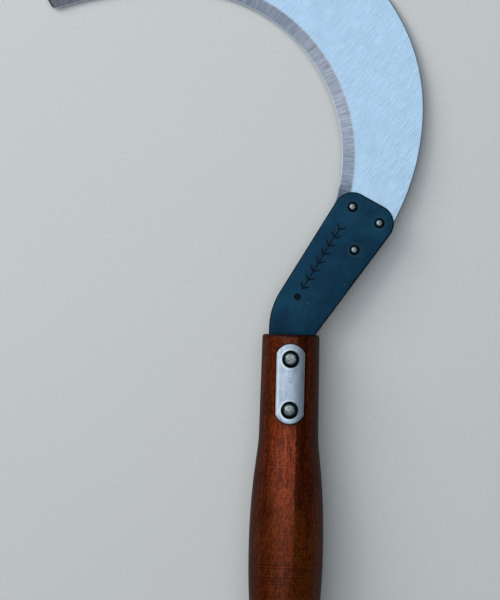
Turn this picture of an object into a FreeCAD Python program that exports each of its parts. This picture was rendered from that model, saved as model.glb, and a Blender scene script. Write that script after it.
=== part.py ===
import FreeCAD, Part

import math
import os

import Sketcher
from FreeCAD import Placement, Rotation, Vector

# Hand sickle, in millimetres. The origin is the centre of the handle's flat butt face.
# +Y runs up the handle towards the blade, +Z is the side on which the blade is ground,
# and the blade's tip points towards -X.

SIZES = {
    # turned handle: heights are measured from the butt face
    "handle_length": 155.5,
    "butt_face_radius": 10.5,
    "butt_edge_y": 6.0,
    "butt_edge_radius": 16.5,
    "butt_round": 6.0,
    "butt_swell_y": 10.5,
    "butt_swell_radius": 16.1,
    "butt_swell_curve": 11.0,
    "waist_y": 18.0,
    "waist_radius": 15.15,
    "waist_curve": 30.0,
    "low_palm_y": 28.0,
    "low_palm_radius": 15.85,
    "low_palm_curve": 72.0,
    "mid_palm_y": 35.0,
    "mid_palm_radius": 16.55,
    "mid_palm_curve": 92.0,
    "palm_y": 56.0,
    "palm_radius": 17.2,
    "palm_curve": 339.0,
    "flare_y": 101.5,
    "flare_radius": 14.38,
    "flare_curve": 367.0,
    "neck_y": 111.5,
    "neck_radius": 13.7,
    "neck_curve": 89.1,
    "shoulder_radius": 13.2,
    "shoulder_round": 1.3,
    # saw kerf that takes the tang
    "kerf_bottom_y": 93.0,
    # flat shank plate and its tang
    "shank_thick": 3.0,
    "tang_half_width": 10.2,
    "tang_end_y": 95.0,
    "tang_corner": 3.0,
    "tang_bend": 33.3,
    "tang_bend_y": 158.2,
    "shank_left_angle": 59.4,
    "shank_top_angle": -27.8,
    "shank_right_angle": -125.4,
    "shank_corner": 8.75,
    "shank_left_corner_y": 212.84,
    "shank_right_corner_x": 37.3,
    "shank_edge_round": 0.4,
    # crescent blade
    "blade_thick": 1.5,
    "bow_x": -53.7,
    "bow_y": 237.0,
    "bow_radius": 75.3,
    "reach_x": -56.37,
    "reach_radius": 167.9,
    "tip_x": -119.5,
    "tip_y": 313.8,
    "tip_angle": 119.4,
    "tip_round": 2.5,
    "back_x": -28.0,
    "back_y": 259.0,
    "back_radius": 86.5,
    "crown_radius": 151.2,
    "flank_radius": 110.2,
    "heel_left_y": 198.9,
    "heel_right_y": 186.0,
    "heel_round": 2.5,
    # bevel ground on the blade's upper face along its inner edge
    "bevel_width": 6.0,
    "bevel_start_angle": -10.5,
    "bevel_end_angle": 120.0,
    "edge_thick": 0.12,
    "rim_width": 0.5,
    "rim_thick": 0.4,
    # three rivets that hold the blade to the shank
    "blade_rivet_radius": 1.5,
    "blade_rivet_head_radius": 2.1,
    "blade_rivet_head_rise": 0.8,
    "blade_rivet_tail_radius": 2.3,
    "blade_rivet_tail_rise": 0.6,
    "rivet_recess_radius": 2.4,
    "rivet_recess_depth": 0.35,
    "blade_rivet_one_x": 26.9,
    "blade_rivet_one_y": 214.8,
    "blade_rivet_two_x": 39.4,
    "blade_rivet_two_y": 207.6,
    "blade_rivet_three_x": 28.2,
    "blade_rivet_three_y": 195.0,
    # bent side plates on the neck
    "side_plate_thick": 1.3,
    "side_plate_low_y": 114.6,
    "side_plate_high_y": 151.3,
    "side_plate_half_width": 6.45,
    "side_plate_arch": 4.4,
    "side_plate_wrap": 90.0,
    # two rivets through side plates, neck and tang
    "handle_rivet_radius": 2.5,
    "handle_rivet_head_radius": 3.85,
    "handle_rivet_head_rise": 1.7,
    "rivet_seat_radius": 4.1,
    "rivet_seat_depth": 0.6,
    "handle_rivet_upper_y": 144.3,
    "handle_rivet_lower_y": 121.0,
    # how far a cutting shape runs past what it cuts
    "overrun": 5.0,
}

START, END, CENTRE = 1, 2, 3
ORIGIN, Y_AXIS = -1, -2

BLADE_TOP_Z = "(-sizes.shank_thick / 2)"
BLADE_BACK_Z = "(-sizes.shank_thick / 2 - sizes.blade_thick)"
NECK_TOP_Y = "(sizes.handle_length - sizes.shoulder_round)"
NECK_TAPER = f"((sizes.neck_radius - sizes.shoulder_radius) / ({NECK_TOP_Y} - sizes.neck_y))"
CAP_RADIUS = "((({half}) ^ 2 + ({rise}) ^ 2) / (2 * ({rise})))"

BLADE_RIVETS = {
    "blade_rivet_1": ("sizes.blade_rivet_one_x", "sizes.blade_rivet_one_y"),
    "blade_rivet_2": ("sizes.blade_rivet_two_x", "sizes.blade_rivet_two_y"),
    "blade_rivet_3": ("sizes.blade_rivet_three_x", "sizes.blade_rivet_three_y"),
}
HANDLE_RIVETS = {
    "handle_rivet_upper": ("0", "sizes.handle_rivet_upper_y"),
    "handle_rivet_lower": ("0", "sizes.handle_rivet_lower_y"),
}

doc = FreeCAD.newDocument("hand_sickle")
sheet = doc.addObject("Spreadsheet::Sheet", "sizes")
for row, (alias, amount) in enumerate(SIZES.items(), start=1):
    sheet.set(f"A{row}", alias)
    sheet.set(f"B{row}", str(amount))
    sheet.setAlias(f"B{row}", alias)
doc.recompute()


def value(expression):
    """What an expression over the sheet comes to."""
    return float(sheet.evalExpression(expression))


def point(x_expression, y_expression):
    """A sketch point whose coordinates are expressions over the sheet."""
    return Vector(value(x_expression), value(y_expression), 0)


def direction(degrees):
    """Unit vector at this angle from the sketch's +X."""
    return Vector(math.cos(math.radians(degrees)), math.sin(math.radians(degrees)), 0)


def left_of(way):
    """The vector turned a quarter turn to the left."""
    return Vector(-way.y, way.x, 0)


def arc_centre(start, finish, radius, turns_left):
    """Centre of the shorter arc of this radius from start to finish."""
    chord = finish - start
    height = math.sqrt(radius**2 - (chord.Length / 2) ** 2)
    to_left = left_of(chord).normalize()
    return (start + finish) * 0.5 + to_left * (height if turns_left else -height)


def crossing(first, first_radius, second, second_radius):
    """Where two circles meet, to the left of the way from the first centre to the second."""
    gap = second - first
    along = (gap.Length**2 + first_radius**2 - second_radius**2) / (2 * gap.Length)
    aside = math.sqrt(first_radius**2 - along**2)
    forward = Vector(gap).normalize()
    return first + forward * along + left_of(forward) * aside


def neck_radius(y_expression):
    """Expression for the neck's radius at a height: a straight taper."""
    return f"(sizes.neck_radius - (({y_expression}) - sizes.neck_y) * {NECK_TAPER})"


def seat_height(y_expression):
    """Expression for how far a handle rivet's seat lies from the handle's axis."""
    return f"({neck_radius(y_expression)} + sizes.side_plate_thick - sizes.rivet_seat_depth)"


def new_body(label):
    """An empty body, labelled with the name of its piece."""
    body = doc.addObject("PartDesign::Body", label)
    body.Label = label
    body.Placement = Placement(Vector(0, 0, 0), Rotation())
    return body


def new_sketch(body, name, role, lift=None):
    """A sketch on one of the body's origin planes, or lifted along that plane's normal."""
    sketch = body.newObject("Sketcher::SketchObject", name)
    plane = next(item for item in body.Origin.OriginFeatures if item.Role == role)
    sketch.AttachmentSupport = (plane, [""])
    sketch.MapMode = "FlatFace"
    if lift:
        sketch.setExpression("AttachmentOffset.Base.z", lift)
    return sketch


def fix(sketch, kind, *rest):
    """Adds a constraint that holds no dimension."""
    sketch.addConstraint(Sketcher.Constraint(kind, *rest))


def bind(sketch, kind, item, expression):
    """Ties a radius or an angle to the sheet."""
    amount = value(expression)
    unit = ""
    if kind == "Angle":
        amount = math.radians(amount)
        unit = " * 1 deg"
    index = sketch.addConstraint(Sketcher.Constraint(kind, item, amount))
    sketch.setExpression(f"Constraints[{index}]", f"({expression}){unit}")


def bind_point(sketch, item, end, x_expression=None, y_expression=None):
    """Ties a point's distances from the sketch's origin to the sheet."""
    if x_expression:
        across = Sketcher.Constraint("DistanceX", ORIGIN, 1, item, end, value(x_expression))
        sketch.setExpression(f"Constraints[{sketch.addConstraint(across)}]", x_expression)
    if y_expression:
        upward = Sketcher.Constraint("DistanceY", ORIGIN, 1, item, end, value(y_expression))
        sketch.setExpression(f"Constraints[{sketch.addConstraint(upward)}]", y_expression)


class Chain:
    """A closed outline drawn one line or arc after another."""

    def __init__(self, sketch):
        self.sketch = sketch
        self.pieces = []

    def line(self, start, finish):
        item = self.sketch.addGeometry(Part.LineSegment(start, finish), False)
        self.pieces.append((item, START, END, False))
        return item

    def arc(self, centre, start, finish, turns_left, smooth=False):
        """Adds an arc; a smooth one is tangent to the piece that follows it."""
        first, last = (start, finish) if turns_left else (finish, start)
        first_angle = math.atan2(first.y - centre.y, first.x - centre.x)
        last_angle = math.atan2(last.y - centre.y, last.x - centre.x)
        if last_angle < first_angle:
            last_angle += 2 * math.pi
        circle = Part.Circle(centre, Vector(0, 0, 1), (start - centre).Length)
        item = self.sketch.addGeometry(Part.ArcOfCircle(circle, first_angle, last_angle), False)
        ends = (START, END) if turns_left else (END, START)
        self.pieces.append((item, *ends, smooth))
        return item

    def smooth_line(self, start, finish):
        """Adds a line that is tangent to the piece that follows it."""
        item = self.line(start, finish)
        self.pieces[-1] = (item, START, END, True)
        return item

    def close(self):
        """Joins each piece to the next and the last to the first."""
        for index, (item, _, end, smooth) in enumerate(self.pieces):
            following, start, _, _ = self.pieces[(index + 1) % len(self.pieces)]
            fix(self.sketch, "Tangent" if smooth else "Coincident", item, end, following, start)


def polygon(sketch, corners):
    """A closed polygon; each corner is a pair of expressions over the sheet."""
    places = [point(*corner) for corner in corners]
    chain = Chain(sketch)
    for index, place in enumerate(places):
        item = chain.line(place, places[(index + 1) % len(places)])
        bind_point(sketch, item, START, *corners[index])
    chain.close()


def circles(sketch, centres, radius_expression):
    """One circle round each pair of expressions."""
    for x_expression, y_expression in centres:
        circle = Part.Circle(
            point(x_expression, y_expression), Vector(0, 0, 1), value(radius_expression)
        )
        item = sketch.addGeometry(circle, False)
        bind(sketch, "Radius", item, radius_expression)
        bind_point(sketch, item, CENTRE, x_expression, y_expression)


def pad(body, name, sketch, length_expression):
    """Pads a sketch along its plane's normal."""
    feature = body.newObject("PartDesign::Pad", name)
    feature.Profile = sketch
    feature.setExpression("Length", length_expression)


def pocket_through(body, name, sketch):
    """Cuts a sketch through the body on both sides of its plane."""
    feature = body.newObject("PartDesign::Pocket", name)
    feature.Profile = sketch
    feature.SideType = "Symmetric"
    feature.setExpression("Length", "2 * sizes.handle_length")


def pocket_one_way(body, name, sketch, length_expression, along_normal):
    """Cuts a sketch to a depth, along its plane's normal or against it."""
    feature = body.newObject("PartDesign::Pocket", name)
    feature.Profile = sketch
    feature.Reversed = along_normal
    feature.setExpression("Length", length_expression)


def turn(body, name, sketch, axis):
    """Revolves a sketch right round one of its own axes."""
    feature = body.newObject("PartDesign::Revolution", name)
    feature.Profile = sketch
    feature.ReferenceAxis = (sketch, [axis])
    return feature


def round_edges(body, name, wanted, radius_expression):
    """Fillets the edges of the body's newest feature for which wanted(edge) is true."""
    doc.recompute()
    base = body.Tip
    names = [
        f"Edge{number}" for number, edge in enumerate(base.Shape.Edges, start=1) if wanted(edge)
    ]
    feature = body.newObject("PartDesign::Fillet", name)
    feature.Base = (base, names)
    feature.setExpression("Radius", radius_expression)


def make_blade():
    """Crescent with a bevel along the inner edge and a heel that lies under the shank."""
    body = new_body("blade")
    outline = new_sketch(body, "blade_outline", "XY_Plane", BLADE_BACK_Z)
    chain = Chain(outline)

    bow = point("sizes.bow_x", "sizes.bow_y")
    bow_radius = value("sizes.bow_radius")
    reach_radius = value("sizes.reach_radius")
    sideways = value("sizes.reach_x - sizes.bow_x")
    drop = math.sqrt((reach_radius - bow_radius) ** 2 - sideways**2)
    reach = bow + Vector(sideways, -drop, 0)
    bow_end = bow + (bow - reach).normalize() * bow_radius

    tip = point("sizes.tip_x", "sizes.tip_y")
    tip_round = value("sizes.tip_round")
    tip_way = direction(value("sizes.tip_angle"))
    beside_tip = tip - left_of(tip_way) * tip_round
    from_reach = beside_tip - reach
    along = from_reach.dot(tip_way)
    round_gap = reach_radius + tip_round
    step = along - math.sqrt(along**2 - from_reach.Length**2 + round_gap**2)
    round_centre = beside_tip - tip_way * step
    reach_end = reach + (round_centre - reach).normalize() * reach_radius
    round_end = round_centre + left_of(tip_way) * tip_round

    back = point("sizes.back_x", "sizes.back_y")
    back_radius = value("sizes.back_radius")
    crown_radius = value("sizes.crown_radius")
    crown = crossing(back, crown_radius - back_radius, tip, crown_radius)
    crown_end = back + (back - crown).normalize() * back_radius
    back_end = back + Vector(back_radius, 0, 0)
    flank_radius = value("sizes.flank_radius")
    flank = back_end - Vector(flank_radius, 0, 0)
    heel_right_y = value("sizes.heel_right_y")
    heel_right_x = flank.x + math.sqrt(flank_radius**2 - (heel_right_y - flank.y) ** 2)
    heel_right = Vector(heel_right_x, heel_right_y, 0)
    heel_left_y = value("sizes.heel_left_y")
    heel_left_x = bow.x + math.sqrt(bow_radius**2 - (heel_left_y - bow.y) ** 2)
    heel_left = Vector(heel_left_x, heel_left_y, 0)

    bow_arc = chain.arc(bow, heel_left, bow_end, True, smooth=True)
    reach_arc = chain.arc(reach, bow_end, reach_end, True, smooth=True)
    tip_arc = chain.arc(round_centre, reach_end, round_end, False, smooth=True)
    tip_side = chain.line(round_end, tip)
    crown_arc = chain.arc(crown, tip, crown_end, False, smooth=True)
    back_arc = chain.arc(back, crown_end, back_end, False, smooth=True)
    flank_arc = chain.arc(flank, back_end, heel_right, False)
    heel_side = chain.line(heel_right, heel_left)
    chain.close()
    for item, alias in (
        (bow_arc, "bow_radius"),
        (reach_arc, "reach_radius"),
        (tip_arc, "tip_round"),
        (crown_arc, "crown_radius"),
        (back_arc, "back_radius"),
        (flank_arc, "flank_radius"),
    ):
        bind(outline, "Radius", item, f"sizes.{alias}")
    bind(outline, "Angle", tip_side, "sizes.tip_angle")
    bind_point(outline, bow_arc, CENTRE, "sizes.bow_x", "sizes.bow_y")
    bind_point(outline, reach_arc, CENTRE, "sizes.reach_x")
    bind_point(outline, tip_side, END, "sizes.tip_x", "sizes.tip_y")
    bind_point(outline, back_arc, CENTRE, "sizes.back_x", "sizes.back_y")
    bind_point(outline, flank_arc, CENTRE, None, "sizes.back_y")
    bind_point(outline, heel_side, START, None, "sizes.heel_right_y")
    bind_point(outline, heel_side, END, None, "sizes.heel_left_y")
    pad(body, "blade_blank", outline, "sizes.blade_thick")

    def at_heel(edge):
        low, high = edge.BoundBox.YMin, edge.BoundBox.YMax
        upright = edge.BoundBox.ZLength > value("sizes.blade_thick") / 2
        return upright and low == high and high < value("sizes.heel_left_y") + 1

    round_edges(body, "heel_corners", at_heel, "sizes.heel_round")

    join_angle = math.degrees(math.atan2(bow_end.y - bow.y, bow_end.x - bow.x))
    start_angle = value("sizes.bevel_start_angle")
    end_angle = value("sizes.bevel_end_angle")
    grind(body, "bow", bow, "sizes.bow_radius", start_angle, join_angle)
    grind(body, "reach", reach, "sizes.reach_radius", join_angle, end_angle)

    holes = new_sketch(body, "blade_rivet_holes", "XY_Plane")
    circles(holes, BLADE_RIVETS.values(), "sizes.blade_rivet_radius")
    pocket_through(body, "blade_rivet_bores", holes)
    return body


def grind(body, name, centre, radius, start_angle, end_angle):
    """Grinds the bevel along one arc of the inner edge, turning about the arc's centre."""
    section = new_sketch(body, f"{name}_bevel_section", "XZ_Plane")
    start = Rotation(Vector(0, 1, 0), start_angle)
    section.AttachmentOffset = Placement(Vector(centre.x, 0, -centre.y), start)
    above = f"({BLADE_TOP_Z} + sizes.overrun)"
    inside = f"({radius} - sizes.overrun)"
    edge_z = f"({BLADE_BACK_Z} + sizes.edge_thick)"
    polygon(
        section,
        [
            (inside, above),
            (inside, edge_z),
            (radius, edge_z),
            (f"{radius} + sizes.rim_width", f"{BLADE_BACK_Z} + sizes.rim_thick"),
            (f"{radius} + sizes.bevel_width", BLADE_TOP_Z),
            (f"{radius} + sizes.bevel_width", above),
        ],
    )
    feature = body.newObject("PartDesign::Groove", f"{name}_bevel")
    feature.Profile = section
    feature.ReferenceAxis = (section, ["V_Axis"])
    feature.Angle = end_angle - start_angle


def make_shank():
    """Flat plate with two rounded upper corners that narrows into the tang."""
    body = new_body("shank_plate")
    outline = new_sketch(body, "shank_outline", "XY_Plane", "-sizes.shank_thick / 2")
    chain = Chain(outline)

    half = value("sizes.tang_half_width")
    end_y = value("sizes.tang_end_y")
    corner = value("sizes.tang_corner")
    bend = value("sizes.tang_bend")
    bend_y = value("sizes.tang_bend_y")
    big_corner = value("sizes.shank_corner")
    left_way = direction(value("sizes.shank_left_angle"))
    top_way = direction(value("sizes.shank_top_angle"))
    right_way = direction(value("sizes.shank_right_angle"))

    bend_centre = Vector(bend - half, bend_y, 0)
    bend_end = bend_centre + left_of(left_way) * bend
    beside = bend_end - left_of(left_way) * big_corner
    climb = (value("sizes.shank_left_corner_y") - beside.y) / left_way.y
    left_corner = beside + left_way * climb
    run = (value("sizes.shank_right_corner_x") - left_corner.x) / top_way.x
    right_corner = left_corner + top_way * run
    right_start = right_corner + left_of(right_way) * big_corner
    right_end = right_start + right_way * ((half - right_start.x) / right_way.x)
    upper_left = Vector(-half, end_y + corner, 0)
    upper_right = Vector(half, end_y + corner, 0)
    lower_left = Vector(corner - half, end_y, 0)
    lower_right = Vector(half - corner, end_y, 0)

    left_side = chain.smooth_line(upper_left, Vector(-half, bend_y, 0))
    bend_arc = chain.arc(bend_centre, Vector(-half, bend_y, 0), bend_end, False, smooth=True)
    left_end = left_corner + left_of(left_way) * big_corner
    left_slope = chain.smooth_line(bend_end, left_end)
    top_start = left_corner + left_of(top_way) * big_corner
    left_arc = chain.arc(left_corner, left_end, top_start, False, smooth=True)
    top_end = right_corner + left_of(top_way) * big_corner
    top_side = chain.smooth_line(top_start, top_end)
    right_arc = chain.arc(right_corner, top_end, right_start, False, smooth=True)
    right_slope = chain.line(right_start, right_end)
    right_side = chain.smooth_line(right_end, upper_right)
    low_right_centre = Vector(half - corner, end_y + corner, 0)
    low_right = chain.arc(low_right_centre, upper_right, lower_right, False, smooth=True)
    low_side = chain.smooth_line(lower_right, lower_left)
    low_left_centre = Vector(corner - half, end_y + corner, 0)
    low_left = chain.arc(low_left_centre, lower_left, upper_left, False, smooth=True)
    chain.close()
    for item, alias in (
        (bend_arc, "tang_bend"),
        (left_arc, "shank_corner"),
        (right_arc, "shank_corner"),
        (low_right, "tang_corner"),
        (low_left, "tang_corner"),
    ):
        bind(outline, "Radius", item, f"sizes.{alias}")
    for item, alias in (
        (left_slope, "shank_left_angle"),
        (top_side, "shank_top_angle"),
        (right_slope, "shank_right_angle"),
    ):
        bind(outline, "Angle", item, f"sizes.{alias}")
    fix(outline, "Vertical", left_side)
    fix(outline, "Vertical", right_side)
    fix(outline, "Horizontal", low_side)
    bind_point(outline, left_side, END, "-sizes.tang_half_width", "sizes.tang_bend_y")
    bind_point(outline, right_side, START, "sizes.tang_half_width")
    bind_point(outline, low_side, START, None, "sizes.tang_end_y")
    bind_point(outline, left_arc, CENTRE, None, "sizes.shank_left_corner_y")
    bind_point(outline, right_arc, CENTRE, "sizes.shank_right_corner_x")
    pad(body, "shank_blank", outline, "sizes.shank_thick")

    def on_rim(edge):
        return edge.BoundBox.ZLength < value("sizes.shank_edge_round") / 2

    round_edges(body, "shank_rim", on_rim, "sizes.shank_edge_round")

    small_holes = new_sketch(body, "shank_blade_rivet_holes", "XY_Plane")
    circles(small_holes, BLADE_RIVETS.values(), "sizes.blade_rivet_radius")
    pocket_through(body, "shank_blade_rivet_bores", small_holes)
    recesses = new_sketch(body, "rivet_recess_circles", "XY_Plane", "sizes.shank_thick / 2")
    circles(recesses, BLADE_RIVETS.values(), "sizes.rivet_recess_radius")
    pocket_one_way(body, "rivet_recesses", recesses, "sizes.rivet_recess_depth", False)
    big_holes = new_sketch(body, "tang_rivet_holes", "XY_Plane")
    circles(big_holes, HANDLE_RIVETS.values(), "sizes.handle_rivet_radius")
    pocket_through(body, "tang_rivet_bores", big_holes)
    return body


def make_handle():
    """Turned handle with a saw kerf across its neck and two rivet holes."""
    body = new_body("handle")
    profile = new_sketch(body, "handle_profile", "XY_Plane")
    chain = Chain(profile)

    face_edge = point("sizes.butt_face_radius", "0")
    face = chain.line(Vector(0, 0, 0), face_edge)
    # the end of each arc up the side, and whether the arc swells outward
    arcs = {
        "butt_edge": ("butt_round", True),
        "butt_swell": ("butt_swell_curve", True),
        "waist": ("waist_curve", False),
        "low_palm": ("low_palm_curve", False),
        "mid_palm": ("mid_palm_curve", True),
        "palm": ("palm_curve", True),
        "flare": ("flare_curve", True),
        "neck": ("neck_curve", False),
    }
    here = face_edge
    for name, (curve, swells) in arcs.items():
        across, upward = f"sizes.{name}_radius", f"sizes.{name}_y"
        there = point(across, upward)
        centre = arc_centre(here, there, value(f"sizes.{curve}"), swells)
        item = chain.arc(centre, here, there, swells)
        bind(profile, "Radius", item, f"sizes.{curve}")
        bind_point(profile, item, END if swells else START, across, upward)
        here = there
    rim = "(sizes.shoulder_radius - sizes.shoulder_round)"
    neck_top = point("sizes.shoulder_radius", NECK_TOP_Y)
    face_rim = point(rim, "sizes.handle_length")
    neck_side = chain.line(here, neck_top)
    corner = chain.arc(point(rim, NECK_TOP_Y), neck_top, face_rim, True)
    shoulder = chain.line(face_rim, point("0", "sizes.handle_length"))
    axis_side = chain.line(point("0", "sizes.handle_length"), Vector(0, 0, 0))
    chain.close()
    bind(profile, "Radius", corner, "sizes.shoulder_round")
    bind_point(profile, neck_side, END, "sizes.shoulder_radius", NECK_TOP_Y)
    bind_point(profile, corner, END, rim, "sizes.handle_length")
    bind_point(profile, face, END, "sizes.butt_face_radius")
    fix(profile, "Coincident", axis_side, END, ORIGIN, START)
    fix(profile, "Horizontal", face)
    fix(profile, "Horizontal", shoulder)
    fix(profile, "Vertical", axis_side)
    turn(body, "handle_turning", profile, "V_Axis")

    kerf = new_sketch(body, "kerf_section", "YZ_Plane")
    mouth = "sizes.handle_length + sizes.overrun"
    polygon(
        kerf,
        [
            ("sizes.kerf_bottom_y", "-sizes.shank_thick / 2"),
            (mouth, "-sizes.shank_thick / 2"),
            (mouth, "sizes.shank_thick / 2"),
            ("sizes.kerf_bottom_y", "sizes.shank_thick / 2"),
        ],
    )
    pocket_through(body, "kerf", kerf)

    holes = new_sketch(body, "handle_rivet_holes", "XY_Plane")
    circles(holes, HANDLE_RIVETS.values(), "sizes.handle_rivet_radius")
    pocket_through(body, "handle_rivet_bores", holes)
    return body


def make_side_plate(label, side):
    """Plate bent round the neck, with arched ends and a flat seat round each rivet hole."""
    body = new_body(label)
    low, high = "sizes.side_plate_low_y", "sizes.side_plate_high_y"
    thick = "sizes.side_plate_thick"
    section = new_sketch(body, f"{label}_section", "YZ_Plane")
    polygon(
        section,
        [
            (low, f"{side} * {neck_radius(low)}"),
            (high, f"{side} * {neck_radius(high)}"),
            (high, f"{side} * ({neck_radius(high)} + {thick})"),
            (low, f"{side} * ({neck_radius(low)} + {thick})"),
        ],
    )
    bend = turn(body, f"{label}_bend", section, "H_Axis")
    bend.Midplane = True
    bend.setExpression("Angle", "sizes.side_plate_wrap")

    trim = new_sketch(body, f"{label}_outline", "XY_Plane")
    past = "(sizes.palm_radius + sizes.overrun)"
    below, above = f"{low} - sizes.overrun", f"{high} + sizes.overrun"
    corners = [(f"-{past}", below), (past, below), (past, above), (f"-{past}", above)]
    polygon(trim, corners)
    half, arch = "sizes.side_plate_half_width", "sizes.side_plate_arch"
    end_radius = CAP_RADIUS.format(half=half, rise=arch)
    low_left = point(f"-{half}", f"{low} + {arch}")
    low_right = point(half, f"{low} + {arch}")
    high_left = point(f"-{half}", f"{high} - {arch}")
    high_right = point(half, f"{high} - {arch}")
    chain = Chain(trim)
    right = chain.line(low_right, high_right)
    top_centre = point("0", f"{high} - {end_radius}")
    top = chain.arc(top_centre, high_right, high_left, True)
    left = chain.line(high_left, low_left)
    bottom_centre = point("0", f"{low} + {end_radius}")
    bottom = chain.arc(bottom_centre, low_left, low_right, True)
    chain.close()
    bind_point(trim, right, START, half, f"{low} + {arch}")
    bind_point(trim, right, END, half, f"{high} - {arch}")
    bind_point(trim, left, START, f"-{half}", f"{high} - {arch}")
    bind_point(trim, left, END, f"-{half}", f"{low} + {arch}")
    bind(trim, "Radius", top, end_radius)
    bind(trim, "Radius", bottom, end_radius)
    pocket_through(body, f"{label}_trim", trim)

    for name, (x_expression, y_expression) in HANDLE_RIVETS.items():
        lift = f"{side} * {seat_height(y_expression)}"
        seat = new_sketch(body, f"{label}_{name}_seat_circle", "XY_Plane", lift)
        circles(seat, [(x_expression, y_expression)], "sizes.rivet_seat_radius")
        pocket_one_way(body, f"{label}_{name}_seat", seat, "sizes.overrun", side > 0)
    holes = new_sketch(body, f"{label}_holes", "XY_Plane")
    circles(holes, HANDLE_RIVETS.values(), "sizes.handle_rivet_radius")
    pocket_through(body, f"{label}_bores", holes)
    return body


def make_rivet(label, place, radius, low, tail, high, head):
    """Rivet along Z; tail and head are (radius, rise) of the domes beyond low and high."""
    body = new_body(label)
    section = new_sketch(body, f"{label}_section", "XZ_Plane")
    section.setExpression("AttachmentOffset.Base.x", place[0])
    section.setExpression("AttachmentOffset.Base.z", f"-({place[1]})")
    tail_half, tail_rise = tail
    head_half, head_rise = head
    tail_radius = CAP_RADIUS.format(half=tail_half, rise=tail_rise)
    head_radius = CAP_RADIUS.format(half=head_half, rise=head_rise)
    tail_top = point("0", f"({low}) - {tail_rise}")
    tail_rim = point(tail_half, low)
    body_low = point(radius, low)
    body_high = point(radius, high)
    head_rim = point(head_half, high)
    head_top = point("0", f"({high}) + {head_rise}")

    chain = Chain(section)
    tail_centre = point("0", f"({low}) - {tail_rise} + {tail_radius}")
    tail_arc = chain.arc(tail_centre, tail_top, tail_rim, True)
    under_tail = chain.line(tail_rim, body_low)
    side = chain.line(body_low, body_high)
    under_head = chain.line(body_high, head_rim)
    head_centre = point("0", f"({high}) + {head_rise} - {head_radius}")
    head_arc = chain.arc(head_centre, head_rim, head_top, True)
    middle = chain.line(head_top, tail_top)
    chain.close()
    bind(section, "Radius", tail_arc, tail_radius)
    bind(section, "Radius", head_arc, head_radius)
    bind_point(section, under_tail, START, tail_half, low)
    bind_point(section, side, START, radius, low)
    bind_point(section, side, END, radius, high)
    bind_point(section, under_head, END, head_half, high)
    fix(section, "PointOnObject", middle, START, Y_AXIS)
    fix(section, "PointOnObject", middle, END, Y_AXIS)
    bind_point(section, middle, START, None, f"({high}) + {head_rise}")
    bind_point(section, middle, END, None, f"({low}) - {tail_rise}")
    turn(body, f"{label}_turning", section, "V_Axis")
    return body


pieces = [make_blade(), make_shank(), make_handle()]
pieces.append(make_side_plate("side_plate_front", 1))
pieces.append(make_side_plate("side_plate_rear", -1))
for rivet, place in BLADE_RIVETS.items():
    pieces.append(
        make_rivet(
            rivet,
            place,
            "sizes.blade_rivet_radius",
            BLADE_BACK_Z,
            ("sizes.blade_rivet_tail_radius", "sizes.blade_rivet_tail_rise"),
            "sizes.shank_thick / 2 - sizes.rivet_recess_depth",
            ("sizes.blade_rivet_head_radius", "sizes.blade_rivet_head_rise"),
        )
    )
for rivet, place in HANDLE_RIVETS.items():
    dome = ("sizes.handle_rivet_head_radius", "sizes.handle_rivet_head_rise")
    seat = seat_height(place[1])
    pieces.append(
        make_rivet(rivet, place, "sizes.handle_rivet_radius", f"-{seat}", dome, seat, dome)
    )

doc.recompute()
for item in doc.Objects:
    if {"Invalid", "Error"} & set(item.State):
        raise RuntimeError(f"{item.Name} did not build: {item.State}")
for piece in pieces:
    if piece.Shape.isNull() or not piece.Shape.isValid() or len(piece.Shape.Solids) != 1:
        raise RuntimeError(f"{piece.Label} is not one valid solid")

os.makedirs("parts", exist_ok=True)
for piece in pieces:
    piece.Shape.exportStep(os.path.join("parts", f"{piece.Label}.step"))
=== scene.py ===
import math

import bmesh
import bpy
from mathutils import Matrix, Vector, noise


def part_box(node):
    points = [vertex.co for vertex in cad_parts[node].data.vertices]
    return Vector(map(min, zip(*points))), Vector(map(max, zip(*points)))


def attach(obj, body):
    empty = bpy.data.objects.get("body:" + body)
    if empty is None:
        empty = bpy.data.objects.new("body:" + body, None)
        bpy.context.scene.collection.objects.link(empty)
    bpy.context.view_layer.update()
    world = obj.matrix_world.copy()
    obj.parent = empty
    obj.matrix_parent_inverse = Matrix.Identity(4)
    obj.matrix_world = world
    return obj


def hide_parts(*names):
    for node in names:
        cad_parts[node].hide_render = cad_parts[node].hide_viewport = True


# Hand sickle lying on a pale floor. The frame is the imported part's own: the origin is the
# centre of the handle's butt, +Y runs up the handle, +Z is the ground side of the blade.

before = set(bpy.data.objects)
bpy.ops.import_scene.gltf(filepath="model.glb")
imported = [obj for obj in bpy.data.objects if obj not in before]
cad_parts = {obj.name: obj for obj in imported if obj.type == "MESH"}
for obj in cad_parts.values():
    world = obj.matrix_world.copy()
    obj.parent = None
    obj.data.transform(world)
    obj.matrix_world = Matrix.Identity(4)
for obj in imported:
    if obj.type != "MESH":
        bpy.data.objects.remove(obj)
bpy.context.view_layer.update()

MM = 0.001
BLADE_RIVETS = ("blade_rivet_1", "blade_rivet_2", "blade_rivet_3")
HANDLE_RIVETS = ("handle_rivet_upper", "handle_rivet_lower")
BLADE_RIVET_RADIUS = 1.5
HANDLE_RIVET_RADIUS = 2.5
SHARP_ANGLE = 38


def box_mm(node):
    """Lowest and highest corners of a CAD node at rest, in millimetres."""
    low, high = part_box(node)
    return low / MM, high / MM


BLADE_LOW, BLADE_HIGH = box_mm("blade")
SHANK_LOW, SHANK_HIGH = box_mm("shank_plate")
HANDLE_TOP = box_mm("handle")[1].y
PLATE_LOW, PLATE_HIGH = box_mm("side_plate_front")
RIVET_BOXES = {name: box_mm(name) for name in (*BLADE_RIVETS, *HANDLE_RIVETS)}


# -------- outlines in the plane


def around(centre, radius, degrees):
    """The point at this angle on a circle."""
    angle = math.radians(degrees)
    return Vector((centre[0] + radius * math.cos(angle), centre[1] + radius * math.sin(angle)))


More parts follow.
